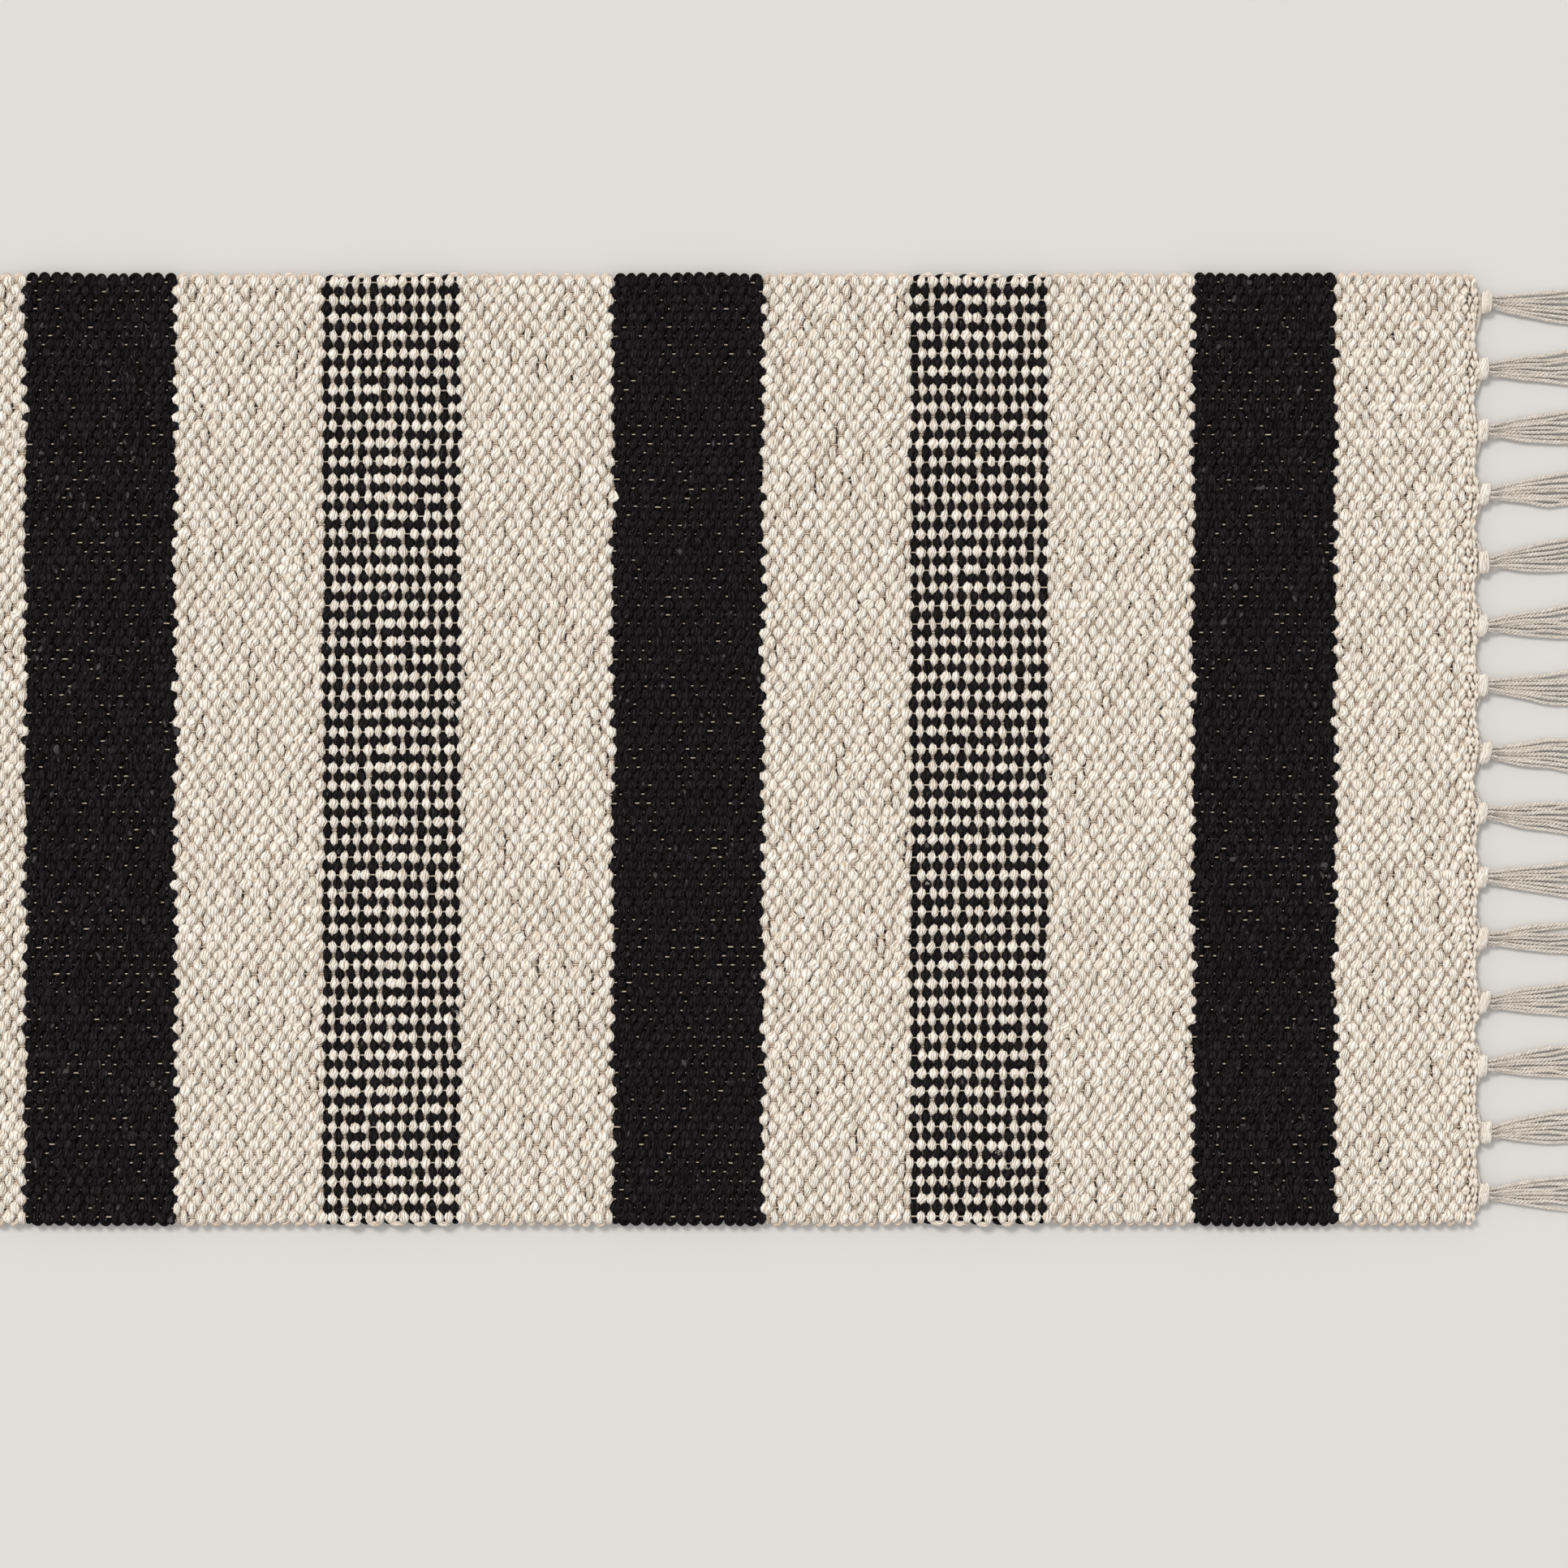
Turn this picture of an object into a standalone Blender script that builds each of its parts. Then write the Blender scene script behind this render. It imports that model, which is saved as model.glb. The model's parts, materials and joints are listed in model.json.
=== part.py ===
"""Flat-woven runner rug: bands of cotton weft on hidden warp cords, with a knotted fringe at both ends.

Metres, +Z up. The origin is the centre of the underside and +X runs along the rug, which lies flat on z = 0.
Each end folds up and over the middle about a band border. Each fringe turns under about its end of the weave.
"""

import math

import bmesh
import bpy

# Driving dimensions
RUG_LENGTH = 2.134  # weave only, without the fringe
RUG_WIDTH = 0.610
BANDS = 23
BAND_ORDER = ("check", "cream", "black", "cream")  # by band number modulo 4
CHECK_BAND_LENGTH = 0.0894
OUTER_BANDS = 3  # plain bands at each end, which are beaten closer
OUTER_BAND_LENGTH = 0.0905
END_FOLD_BANDS = 5  # bands in each end flap
WARP_THICKNESS = 0.003
WEFT_THICKNESS = 0.003  # one layer, over or under the warps
HEADER_LENGTH = 0.008  # strip of finer twine that ends the weave
HEADER_TWINE = 0.0023  # one layer of it
SELVEDGE_WALL = 0.0031  # weft wrapped round the outermost warps
EDGE_RADIUS = 0.0040  # rounding of the selvedges
BORDER_CHAMFER = 0.0006  # eased edge where two bands meet
GAP = 0.0003  # clearance between neighbouring pieces

# Fringe
TASSELS = 15
TASSEL_PITCH = RUG_WIDTH / TASSELS
FRINGE_LENGTH = 0.075
KNOT_CENTRE = 0.0062  # from the end of the weave
KNOT_LENGTH = 0.0078
KNOT_HALF_WIDTH = 0.0076
KNOT_HEIGHT = 0.0086
NECK_HALF_WIDTH = 0.0048
SKIRT_HALF_WIDTH = 0.0115  # where the strands end
SKIRT_LEAN = 0.0060  # how far a skirt may hang to one side
LEAN_STEP = 0.7  # neighbouring skirts lean nearly alike: radians of the lean's wave per tassel
LEAN_START = 0.54
STRAND_DIAMETER = 0.0032

# Joint axes
FOLD_CLEARANCE = 0.0005  # fold axis above the highest face, so that the layers lie face to face
TUCK_CLEARANCE = 0.0003  # tuck axis below the underside

# Mesh fineness
ARC_STEPS = 3  # segments in a quarter round
RING_POINTS = 10  # corners in a tassel's cross-section

# Worked out
RUG_THICKNESS = WARP_THICKNESS + 2 * WEFT_THICKNESS
HEADER_THICKNESS = WARP_THICKNESS + 2 * HEADER_TWINE
WEAVE_END = RUG_LENGTH / 2
MID_HEIGHT = RUG_THICKNESS / 2


def band_lengths():
    """Every band's length, from the -X end; the inner plain bands share what the others leave."""
    lengths = []
    for number in range(1, BANDS + 1):
        if number <= OUTER_BANDS or number > BANDS - OUTER_BANDS:
            lengths.append(OUTER_BAND_LENGTH)
        elif BAND_ORDER[number % 4] == "check":
            lengths.append(CHECK_BAND_LENGTH)
        else:
            lengths.append(None)
    left_over = RUG_LENGTH - sum(length for length in lengths if length)
    plain = left_over / lengths.count(None)
    return [length or plain for length in lengths]


BAND_LENGTHS = band_lengths()
FOLD_X = WEAVE_END - sum(BAND_LENGTHS[:END_FOLD_BANDS])


def clear_scene():
    for item in list(bpy.data.objects):
        bpy.data.objects.remove(item, do_unlink=True)


def fabric(name, colour, roughness):
    """One Principled material; colour is linear."""
    material = bpy.data.materials.new(name)
    material.use_nodes = True
    shader = material.node_tree.nodes["Principled BSDF"]
    shader.inputs["Base Color"].default_value = (*colour, 1.0)
    shader.inputs["Roughness"].default_value = roughness
    shader.inputs["Metallic"].default_value = 0.0
    material.diffuse_color = (*colour, 1.0)
    return material


def joint_empty(name, x, z, collection):
    """An empty on a joint's axis, which runs across the rug."""
    empty = bpy.data.objects.new(name, None)
    empty.empty_display_type = "SINGLE_ARROW"
    empty.empty_display_size = 0.05
    empty.location = (x, 0.0, z)
    collection.objects.link(empty)
    return empty


def put_in(item, parent, location, collection):
    """Place an object at a world location, hung from its joint's empty."""
    base = parent.location if parent else (0.0, 0.0, 0.0)
    item.parent = parent
    item.location = [place - start for place, start in zip(location, base)]
    collection.objects.link(item)


def box_mesh(name, length, width, thickness, radius=0.0):
    """A box about its own centre, with the edges that run along the rug rounded."""
    shape = bmesh.new()
    bmesh.ops.create_cube(shape, size=1.0)
    bmesh.ops.scale(shape, vec=(length, width, thickness), verts=shape.verts)
    if radius:
        long_edges = []
        for edge in shape.edges:
            start, end = edge.verts
            if abs(start.co.x - end.co.x) > length / 2:
                long_edges.append(edge)
        bmesh.ops.bevel(
            shape, geom=long_edges, offset=radius, segments=ARC_STEPS, profile=0.5, affect="EDGES"
        )
    mesh = bpy.data.meshes.new(name)
    shape.to_mesh(mesh)
    shape.free()
    return mesh


def slot_cutter(cutters):
    """The space that the warps take inside the weft, the whole length of the rug."""
    width = RUG_WIDTH - 2 * SELVEDGE_WALL
    height = WARP_THICKNESS + 2 * GAP
    cutter = bpy.data.objects.new("warp_slot", box_mesh("warp_slot", RUG_LENGTH * 1.1, width, height))
    cutter.location = (0.0, 0.0, MID_HEIGHT)
    cutter.hide_render = True
    cutter.display_type = "WIRE"
    cutters.objects.link(cutter)
    return cutter


def woven_strip(name, length, thickness, material, slot):
    """Weft that wraps the warps: a flat sleeve with round selvedges and eased ends."""
    radius = min(EDGE_RADIUS, thickness / 2 - GAP)
    item = bpy.data.objects.new(name, box_mesh(name, length, RUG_WIDTH, thickness, radius))
    item.data.materials.append(material)
    item.data.shade_smooth()
    item.data.set_sharp_from_angle(angle=math.radians(40.0))
    ease = item.modifiers.new("Eased ends", "BEVEL")
    ease.width = BORDER_CHAMFER
    ease.segments = 1
    ease.limit_method = "ANGLE"
    ease.angle_limit = math.radians(60.0)
    cut = item.modifiers.new("Warp slot", "BOOLEAN")
    cut.operation = "DIFFERENCE"
    cut.solver = "EXACT"
    cut.object = slot
    return item


def warp_sheet(name, length, material):
    """The warp cords of one section, which lie side by side, as one thin sheet."""
    width = RUG_WIDTH - 2 * (SELVEDGE_WALL + GAP)
    item = bpy.data.objects.new(name, box_mesh(name, length, width, WARP_THICKNESS, WARP_THICKNESS / 3))
    item.data.materials.append(material)
    return item


def tassel_mesh(name, side, lean, material):
    """Warps drawn together, knotted and spread again: a loft from flat neck to bean-shaped knot to skirt."""
    knot_start = KNOT_CENTRE - KNOT_LENGTH / 2
    knot_end = KNOT_CENTRE + KNOT_LENGTH / 2
    half_warp = WARP_THICKNESS / 2
    # distance from the weave, half width, underside, top, share of the lean
    sections = (
        (GAP, KNOT_HALF_WIDTH + 0.0015, MID_HEIGHT - half_warp, MID_HEIGHT + half_warp, 0.0),
        (knot_start - 0.0003, NECK_HALF_WIDTH, MID_HEIGHT - 0.0024, MID_HEIGHT + 0.0024, 0.0),
        (knot_start + 0.0008, KNOT_HALF_WIDTH * 0.88, 0.0007, KNOT_HEIGHT - 0.0007, 0.0),
        (KNOT_CENTRE, KNOT_HALF_WIDTH, 0.0, KNOT_HEIGHT, 0.0),
        (knot_end - 0.0008, KNOT_HALF_WIDTH * 0.88, 0.0005, KNOT_HEIGHT - 0.0007, 0.0),
        (knot_end + 0.0006, STRAND_DIAMETER, 0.0005, STRAND_DIAMETER * 2.1, 0.02),
        (FRINGE_LENGTH * 0.30, SKIRT_HALF_WIDTH * 0.52, 0.0, STRAND_DIAMETER * 1.9, 0.25),
        (FRINGE_LENGTH * 0.65, SKIRT_HALF_WIDTH * 0.80, 0.0, STRAND_DIAMETER * 1.4, 0.62),
        (FRINGE_LENGTH, SKIRT_HALF_WIDTH, 0.0, STRAND_DIAMETER, 1.0),
    )
    shape = bmesh.new()
    rings = []
    for along, half_width, low, high, share in sections:
        ring = []
        for corner in range(RING_POINTS):
            angle = (corner + 0.5) * math.tau / RING_POINTS
            flat = math.copysign(abs(math.sin(angle)) ** 0.6, math.sin(angle))
            across = half_width * math.cos(angle) + lean * share
            up = (low + high) / 2 + (high - low) / 2 * flat
            ring.append(shape.verts.new((side * along, across, up)))
        rings.append(ring)
    for inner, outer in zip(rings, rings[1:]):
        bmesh.ops.bridge_loops(shape, edges=loop_edges(shape, inner) + loop_edges(shape, outer))
    shape.faces.new(rings[0])
    shape.faces.new(rings[-1])
    bmesh.ops.recalc_face_normals(shape, faces=shape.faces)
    mesh = bpy.data.meshes.new(name)
    shape.to_mesh(mesh)
    shape.free()
    mesh.materials.append(material)
    mesh.shade_smooth()
    mesh.set_sharp_from_angle(angle=math.radians(50.0))
    return mesh


def loop_edges(shape, ring):
    """The closed loop of edges through a ring of vertices."""
    edges = []
    for start, end in zip(ring, ring[1:] + ring[:1]):
        found = shape.edges.get((start, end))
        edges.append(found or shape.edges.new((start, end)))
    return edges


def build_bands(rug, holders, materials, slot):
    """Woven bands, counted from the -X end; the end bands leave room for the headers."""
    for number, length in enumerate(BAND_LENGTHS, start=1):
        start = -WEAVE_END + sum(BAND_LENGTHS[: number - 1])
        end = start + length
        if number == 1:
            start += HEADER_LENGTH
        if number == BANDS:
            end -= HEADER_LENGTH
        pattern = BAND_ORDER[number % 4]
        name = f"band_{number:02d}_{pattern}"
        band = woven_strip(name, end - start - GAP, RUG_THICKNESS, materials[pattern], slot)
        holder = None
        if number <= END_FOLD_BANDS:
            holder = holders["fold_left"]
        elif number > BANDS - END_FOLD_BANDS:
            holder = holders["fold_right"]
        put_in(band, holder, ((start + end) / 2, 0.0, MID_HEIGHT), rug)


def build_headers(rug, holders, materials, slot):
    """The fine strips at the two ends, level with the warps."""
    for name, side in (("left", -1), ("right", 1)):
        length = HEADER_LENGTH - GAP
        header = woven_strip(f"header_{name}", length, HEADER_THICKNESS, materials["header"], slot)
        middle = side * (WEAVE_END - HEADER_LENGTH / 2)
        put_in(header, holders[f"fold_{name}"], (middle, 0.0, MID_HEIGHT), rug)


def build_warps(rug, holders, materials):
    flap_length = WEAVE_END - FOLD_X
    sections = (
        ("warps_left", -(FOLD_X + flap_length / 2), flap_length, holders["fold_left"]),
        ("warps_middle", 0.0, 2 * FOLD_X, None),
        ("warps_right", FOLD_X + flap_length / 2, flap_length, holders["fold_right"]),
    )
    for name, middle, length, holder in sections:
        sheet = warp_sheet(name, length - GAP, materials["warp"])
        put_in(sheet, holder, (middle, 0.0, MID_HEIGHT), rug)


def build_fringes(rug, holders, materials):
    """Tassels in each fringe are counted from the -Y selvedge."""
    for name, side in (("left", -1), ("right", 1)):
        for number in range(1, TASSELS + 1):
            lean = SKIRT_LEAN * math.sin(LEAN_STEP * number - side * LEAN_START)
            node = f"tassel_{name}_{number:02d}"
            tassel = bpy.data.objects.new(node, tassel_mesh(node, side, lean, materials["tassel"]))
            across = (number - (TASSELS + 1) / 2) * TASSEL_PITCH
            put_in(tassel, holders[f"fringe_{name}"], (side * WEAVE_END, across, 0.0), rug)


def main():
    clear_scene()
    rug = bpy.data.collections.new("runner_rug")
    cutters = bpy.data.collections.new("cutters")
    for collection in (rug, cutters):
        bpy.context.scene.collection.children.link(collection)
    materials = {
        "cream": fabric("cream_weft", (0.58, 0.51, 0.42), 0.92),
        "black": fabric("black_weft", (0.012, 0.010, 0.010), 0.90),
        "check": fabric("check_weft", (0.16, 0.14, 0.12), 0.91),
        "header": fabric("header_twine", (0.55, 0.48, 0.39), 0.92),
        "warp": fabric("warp_cord", (0.52, 0.47, 0.37), 0.90),
        "tassel": fabric("tassel_cord", (0.50, 0.43, 0.34), 0.92),
    }
    fold_height = max(RUG_THICKNESS, KNOT_HEIGHT) + FOLD_CLEARANCE
    holders = {
        "fold_left": joint_empty("fold_left_axis", -FOLD_X, fold_height, rug),
        "fold_right": joint_empty("fold_right_axis", FOLD_X, fold_height, rug),
        "fringe_left": joint_empty("fringe_left_axis", -WEAVE_END, -TUCK_CLEARANCE, rug),
        "fringe_right": joint_empty("fringe_right_axis", WEAVE_END, -TUCK_CLEARANCE, rug),
    }
    slot = slot_cutter(cutters)
    build_bands(rug, holders, materials, slot)
    build_headers(rug, holders, materials, slot)
    build_warps(rug, holders, materials)
    build_fringes(rug, holders, materials)


main()
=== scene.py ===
# %% [markdown]
# # A flat-woven cotton runner, yarn by yarn
# The CAD model of this rug has its true size, its hinges and one plain slab for each
# band. This lesson dresses it. Each visible yarn is grown from a few numbers as a bent
# tube, so the pebbly surface, the gaps and the fringe are real shapes and not a picture
# wrapped round a box.

# %% Open the CAD model
import json
import math

import bpy
import numpy as np
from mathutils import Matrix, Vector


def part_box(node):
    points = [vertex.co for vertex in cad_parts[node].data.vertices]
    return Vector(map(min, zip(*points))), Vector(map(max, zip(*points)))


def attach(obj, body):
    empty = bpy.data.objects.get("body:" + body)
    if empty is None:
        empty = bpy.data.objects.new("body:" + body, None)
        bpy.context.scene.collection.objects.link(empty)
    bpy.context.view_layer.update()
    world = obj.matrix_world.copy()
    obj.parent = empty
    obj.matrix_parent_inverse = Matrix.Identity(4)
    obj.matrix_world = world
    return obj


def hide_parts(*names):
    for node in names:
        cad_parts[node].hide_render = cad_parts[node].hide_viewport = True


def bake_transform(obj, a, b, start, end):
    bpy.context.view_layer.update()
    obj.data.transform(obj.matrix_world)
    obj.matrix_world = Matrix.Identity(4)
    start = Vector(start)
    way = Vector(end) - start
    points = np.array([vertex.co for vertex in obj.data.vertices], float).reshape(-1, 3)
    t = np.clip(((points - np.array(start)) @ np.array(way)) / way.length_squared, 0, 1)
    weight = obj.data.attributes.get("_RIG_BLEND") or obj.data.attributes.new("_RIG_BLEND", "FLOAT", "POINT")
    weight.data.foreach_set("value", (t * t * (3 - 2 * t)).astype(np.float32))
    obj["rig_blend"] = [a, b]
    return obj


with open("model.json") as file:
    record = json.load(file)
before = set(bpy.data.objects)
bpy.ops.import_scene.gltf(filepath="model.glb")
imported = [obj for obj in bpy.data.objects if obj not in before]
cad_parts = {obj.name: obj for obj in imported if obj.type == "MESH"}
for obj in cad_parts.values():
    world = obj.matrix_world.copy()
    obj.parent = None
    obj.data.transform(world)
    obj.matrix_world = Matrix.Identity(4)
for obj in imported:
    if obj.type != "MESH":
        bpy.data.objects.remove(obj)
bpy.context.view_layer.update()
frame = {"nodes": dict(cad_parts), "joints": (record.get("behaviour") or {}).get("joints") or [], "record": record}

# %% [markdown]
# ## The camera
# A runner is judged from straight above, the way a buyer sees it laid out. A long lens
# hung high keeps the rows of the weave parallel, where a short one would splay them.
# The view takes in the right-hand half, out to the middle of the fringe.

# %% Hang the camera above the right half
VIEW_WIDTH = 1.0008
VIEW_PAST_WEAVE = 0.058
VIEW_SIDE_SHIFT = -0.0221
LENS = 100.0
SENSOR = 36.0

weave_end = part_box("header_right")[1].x
rug_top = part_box("band_12_check")[1].z
camera_data = bpy.data.cameras.new("overhead_camera")
camera_data.lens = LENS
camera_data.sensor_width = SENSOR
camera_data.clip_end = 60.0
camera = bpy.data.objects.new("overhead_camera", camera_data)
camera.location = (
    weave_end + VIEW_PAST_WEAVE - VIEW_WIDTH / 2,
    VIEW_SIDE_SHIFT,
    rug_top + VIEW_WIDTH * LENS / SENSOR,
)
bpy.context.scene.collection.objects.link(camera)
bpy.context.scene.camera = camera
print("camera height above the rug:", round(camera.location.z - rug_top, 3), "m")

# %% [markdown]
# ## Floor and light
# Woven texture is read from its small shadows, so the main light slants in, just under
# forty degrees from straight above, and is a little soft. A sun lamp lights both ends
# of a long rug alike, which an area lamp close by would not. A pale world fills the
# shadows so that black yarn still shows its strands.

# %% Lay a pale floor and light it
FLOOR_HALF = 7.0
FLOOR_GAP = 0.0006
FLOOR_COLOUR = (0.62, 0.60, 0.57, 1.0)
FLOOR_ROUGHNESS = 0.75
SUN_STRENGTH = 1.62
SUN_SPREAD = 0.30
SUN_COLOUR = (1.0, 0.985, 0.96)
SUN_TILT = (math.radians(-30), math.radians(-24), 0)
FILL_STRENGTH = 0.81
FILL_COLOUR = (0.97, 0.985, 1.0, 1.0)

floor_mesh = bpy.data.meshes.new("studio_floor")
floor_corners = [
    (x * FLOOR_HALF, y * FLOOR_HALF, -FLOOR_GAP) for x, y in ((-1, -1), (1, -1), (1, 1), (-1, 1))
]
floor_mesh.from_pydata(floor_corners, [], [(0, 1, 2, 3)])
floor = bpy.data.objects.new("studio_floor", floor_mesh)
bpy.context.scene.collection.objects.link(floor)

floor_paint = bpy.data.materials.new("pale_floor")
floor_paint.use_nodes = True
floor_shader = floor_paint.node_tree.nodes["Principled BSDF"]
floor_shader.inputs["Base Color"].default_value = FLOOR_COLOUR
floor_shader.inputs["Roughness"].default_value = FLOOR_ROUGHNESS
floor_mesh.materials.append(floor_paint)

sun_data = bpy.data.lights.new("window_sun", "SUN")
sun_data.energy = SUN_STRENGTH
sun_data.angle = SUN_SPREAD
sun_data.color = SUN_COLOUR
sun = bpy.data.objects.new("window_sun", sun_data)
sun.rotation_euler = SUN_TILT
bpy.context.scene.collection.objects.link(sun)

world = bpy.data.worlds.new("pale_room")
world.use_nodes = True
room_light = world.node_tree.nodes["Background"]
room_light.inputs["Color"].default_value = FILL_COLOUR
room_light.inputs["Strength"].default_value = FILL_STRENGTH
bpy.context.scene.world = world
bpy.context.scene.view_settings.view_transform = "Standard"
print("floor, sun and pale room are ready")

# %% [markdown]
# ## Counting the weave
# A weft-faced rug has two sets of yarn. Straight cords, the warps, run the length of
# the rug, and each ends in the fringe. Thick soft yarn, the weft, is passed from edge
# to edge over one warp and under the next, and is beaten down so hard that it hides
# them. Seven warps are knotted into each tassel, so the tassels give the warp count.

# %% Work out the spacing of the warps
WARPS_PER_TASSEL = 7
SELVEDGE_LOOP = 0.0035

tassel_names = sorted(n for n in frame["nodes"] if n.startswith("tassel_right"))
warp_count = WARPS_PER_TASSEL * len(tassel_names)
slab_low, slab_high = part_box("band_12_check")
rug_half_width = slab_high.y
rug_middle = (slab_low.z + slab_high.z) / 2
rug_half_thick = (slab_high.z - slab_low.z) / 2
warp_step = 2 * (rug_half_width - SELVEDGE_LOOP) / warp_count
first_warp = -rug_half_width + SELVEDGE_LOOP + warp_step / 2
tassel_step = 2 * rug_half_width / len(tassel_names)
print(warp_count, "warps,", round(warp_step * 1000, 3), "mm apart")

# %% [markdown]
# ## How the cloth wanders
# Hand-thrown weft never lies dead straight. Rows drift by a few tenths of a millimetre
# and crowd together in places. Near the fringe the knots draw the cloth in, which
# leaves the edge scalloped. One function gives that drift for any point, and every yarn
# goes through it, so neighbours move together and don't cut into each other.

# %% Describe the drift of the cloth
ROW_DRIFT = 0.00020
PASS_DRIFT = 0.00030
DRIFT_LENGTHS = (0.052, 0.083, 0.139)
CROWDING = 0.00055
CROWD_WAVES = 7
SCALLOP = 0.0011
SCALLOP_REACH = 0.011
GATHER = 0.16
GATHER_REACH = 0.013

drift_dice = np.random.default_rng(11)
drift_waves = [
    (length, drift_dice.uniform(0, 2 * math.pi), drift_dice.uniform(-25, 25))
    for length in DRIFT_LENGTHS
]
crowd_waves = [
    (drift_dice.uniform(150, 420), drift_dice.uniform(-330, 330), drift_dice.uniform(0, 2 * math.pi))
    for _ in range(CROWD_WAVES)
]


def drifted(points):
    """Points of the ideal cloth, moved to where the real cloth lies."""
    x = points[:, 0]
    y = points[:, 1]
    moved = points.copy()
    for length, start, lean in drift_waves:
        moved[:, 1] += ROW_DRIFT * np.sin(2 * math.pi * x / length + start + lean * y)
        moved[:, 0] += PASS_DRIFT * np.sin(2 * math.pi * y / length + start * 2 + lean * x)
    for along_rate, across_rate, start in crowd_waves:
        moved[:, 0] += CROWDING / CROWD_WAVES**0.5 * np.sin(along_rate * x + across_rate * y + start)
    inside = np.maximum(weave_end - np.abs(x), 0)
    across = 2 * math.pi * y / tassel_step
    moved[:, 0] += np.sign(x) * SCALLOP * np.cos(across) * np.exp(-inside / SCALLOP_REACH)
    pull = GATHER * tassel_step / (2 * math.pi) * np.exp(-inside / GATHER_REACH)
    moved[:, 1] -= pull * np.sin(across)
    return moved


print("the weave's edge swings", round(SCALLOP * 2000, 1), "mm between tassels")

# %% [markdown]
# ## Growing a yarn
# A yarn is a tube along a line of points. At each point goes a small oval ring, wide
# or flat as the yarn is squeezed there, and the rings are joined by four-sided faces.
# A curve with a bevel would do the same, but it can't be wide at one place and tall at
# another. The builder below keeps many tubes together and makes one mesh of them,
# which is much quicker than thousands of small objects. Each point also remembers how
# high it lies in the cloth, and each face corner how far along and around the yarn it
# is, so the cotton finish can follow the twist.


# %% Make a bundle that collects tubes
class YarnBundle:
    """Tubes that become one mesh, with the distance along, the turn around and the lift stored."""

    def __init__(self):
        self.points = []
        self.corners = []
        self.face_starts = []
        self.along_around = []
        self.lifts = []
        self.tones = []
        self.finishes = []
        self.point_count = 0
        self.corner_count = 0

    def add(
        self,
        line,
        half_wide,
        half_high,
        sides,
        finish=0,
        start=0.0,
        tone=0.0,
        upright=(0, 0, 1),
        round_as=1.0,
    ):
        """One tube along the line; half_high points upright, round_as under 1 squares it off."""
        rings = len(line)
        ahead = np.gradient(line, axis=0)
        ahead /= np.maximum(np.linalg.norm(ahead, axis=1, keepdims=True), 1e-9)
        upward = np.array(upright, float) - ahead * (ahead @ np.array(upright, float))[:, None]
        upward /= np.maximum(np.linalg.norm(upward, axis=1, keepdims=True), 1e-9)
        sideways = np.cross(ahead, upward)
        turn = 2 * math.pi * np.arange(sides) / sides
        across_turn = np.sign(np.cos(turn)) * np.abs(np.cos(turn)) ** round_as
        up_turn = np.sign(np.sin(turn)) * np.abs(np.sin(turn)) ** round_as
        wide = (np.ones(rings) * half_wide)[:, None] * across_turn
        high = (np.ones(rings) * half_high)[:, None] * up_turn
        rim = line[:, None, :] + sideways[:, None, :] * wide[:, :, None]
        rim = rim + upward[:, None, :] * high[:, :, None]
        steps = np.linalg.norm(np.diff(line, axis=0), axis=1)
        along = start + np.concatenate([[0.0], np.cumsum(steps)])

        ring = np.arange(rings - 1)[:, None]
        side = np.arange(sides)[None, :]
        beside = (side + 1) % sides
        quads = np.stack(
            [
                ring * sides + side,
                (ring + 1) * sides + side,
                (ring + 1) * sides + beside,
                ring * sides + beside,
            ],
            axis=-1,
        ).reshape(-1)
        around = np.stack([side, side, side + 1, side + 1], axis=-1) / sides
        around = np.broadcast_to(around, (rings - 1, sides, 4)).reshape(-1)
        far = np.stack([along[:-1], along[1:], along[1:], along[:-1]], axis=-1)
        far = np.broadcast_to(far[:, None, :], (rings - 1, sides, 4)).reshape(-1)
        first_cap = np.arange(sides)
        last_cap = (rings - 1) * sides + np.arange(sides)[::-1]
        cap_far = np.repeat([along[0], along[-1]], sides)
        cap_around = np.concatenate([first_cap, first_cap[::-1]]) / sides

        self.points.append(rim.reshape(-1, 3))
        self.corners.append(np.concatenate([quads, first_cap, last_cap]) + self.point_count)
        quad_starts = 4 * np.arange((rings - 1) * sides)
        cap_starts = 4 * (rings - 1) * sides + np.array([0, sides])
        self.face_starts.append(np.concatenate([quad_starts, cap_starts]) + self.corner_count)
        far = np.concatenate([far, cap_far])
        around = np.concatenate([around, cap_around])
        self.along_around.append(np.stack([far, around], axis=-1))
        # The lift, how high a ring lies in the cloth, also tells the cotton finish where to paint the valley
        # shade.
        self.lifts.append(np.repeat((line[:, 2] - rug_middle) / rug_half_thick, sides))
        self.tones.append(np.full(rings * sides, tone))
        self.finishes.append(np.full((rings - 1) * sides + 2, finish))
        self.point_count += rings * sides
        self.corner_count += 4 * (rings - 1) * sides + 2 * sides

    def make(self, name, materials):
        """The collected tubes as one smooth mesh object."""
        mesh = bpy.data.meshes.new(name)
        corners = np.concatenate(self.corners)
        starts = np.concatenate(self.face_starts)
        mesh.vertices.add(self.point_count)
        mesh.vertices.foreach_set("co", np.concatenate(self.points).astype(np.float32).ravel())
        mesh.loops.add(len(corners))
        mesh.loops.foreach_set("vertex_index", corners.astype(np.int32))
        mesh.polygons.add(len(starts))
        mesh.polygons.foreach_set("loop_start", starts.astype(np.int32))
        mesh.polygons.foreach_set("material_index", np.concatenate(self.finishes).astype(np.int32))
        mesh.update(calc_edges=True)
        mesh.shade_smooth()
        layer = mesh.uv_layers.new(name="yarn")
        layer.data.foreach_set("uv", np.concatenate(self.along_around).astype(np.float32).ravel())
        for label, values in (("lift", self.lifts), ("tone", self.tones)):
            attribute = mesh.attributes.new(label, "FLOAT", "POINT")
            attribute.data.foreach_set("value", np.concatenate(values).astype(np.float32))
        for material in materials:
            mesh.materials.append(material)
        piece = bpy.data.objects.new(name, mesh)
        bpy.context.scene.collection.objects.link(piece)
        return piece


print("yarn bundles can be filled")
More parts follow.
